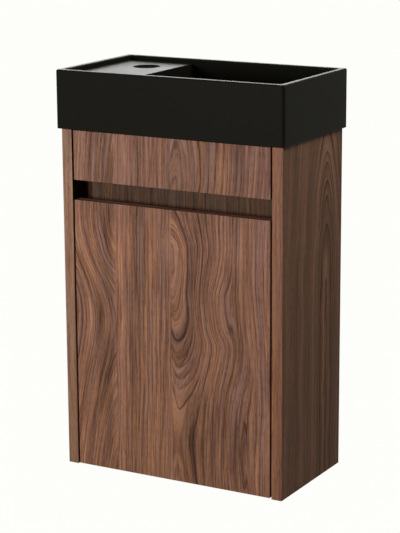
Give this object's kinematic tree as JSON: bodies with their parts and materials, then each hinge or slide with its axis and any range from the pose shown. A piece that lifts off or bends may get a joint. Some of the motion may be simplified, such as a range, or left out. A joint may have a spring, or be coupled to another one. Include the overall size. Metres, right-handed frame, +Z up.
{
  "type": "cloakroom vanity unit",
  "caption": "Shallow wall-hung cabinet for a small cloakroom, with a rectangular basin and sunk tap deck on top, a finger-pull slot and one hinged inset door.",
  "frame": {"origin": "middle of the outer width and depth, at the flat underside of the cabinet", "axes": "+X to the right as seen from the front, +Y from the front to the wall, +Z up"},
  "size_m": [0.4, 0.22, 0.646],
  "materials": {
    "walnut_laminate": "walnut melamine laminate, satin, upright grain",
    "matt_black_glaze": "matt black glaze",
    "zinc_steel": "zinc-plated pressed steel",
    "beech": "turned, unfinished",
    "grey_plastic": "moulded",
    "ferrite": "sintered, dark grey"
  },
  "bodies": {
    "cabinet": {"basin": "matt_black_glaze", "side_left": "walnut_laminate", "side_right": "walnut_laminate", "bottom_panel": "walnut_laminate", "front_rail": "walnut_laminate", "slot_back": "walnut_laminate", "fascia": "walnut_laminate", "hanging_rail": "walnut_laminate", "lower_rail": "walnut_laminate", "shelf": "walnut_laminate", "shelf_pins": "zinc_steel", "cam_locks": "zinc_steel", "cam_bolts": "zinc_steel", "dowels": "beech", "fascia_brackets": "zinc_steel", "fascia_screws": "zinc_steel", "hinge_plate_upper": "zinc_steel", "hinge_plate_lower": "zinc_steel", "hinge_arm_upper": "zinc_steel", "hinge_arm_lower": "zinc_steel", "plate_screws": "zinc_steel", "arm_screws": "zinc_steel", "catch_body_upper": "grey_plastic", "catch_body_lower": "grey_plastic", "catch_magnets": "ferrite", "catch_screws": "zinc_steel", "hanger_body_left": "grey_plastic", "hanger_body_right": "grey_plastic", "hanger_hook_left": "zinc_steel", "hanger_hook_right": "zinc_steel", "hanger_screws": "zinc_steel", "wall_plate_left": "zinc_steel", "wall_plate_right": "zinc_steel"},
    "door": {"door": "walnut_laminate", "hinge_cup_upper": "zinc_steel", "hinge_cup_lower": "zinc_steel", "hinge_pins": "zinc_steel", "cup_screws": "zinc_steel", "catch_plates": "zinc_steel", "catch_plate_screws": "zinc_steel"}
  },
  "joints": [
    {"name": "door_swing", "type": "hinge", "parent": "cabinet", "child": "door", "pos_m": [-0.1545, -0.093, 0.2205], "axis": [0, 0, -1], "range_deg": [0, 92]}
  ]
}
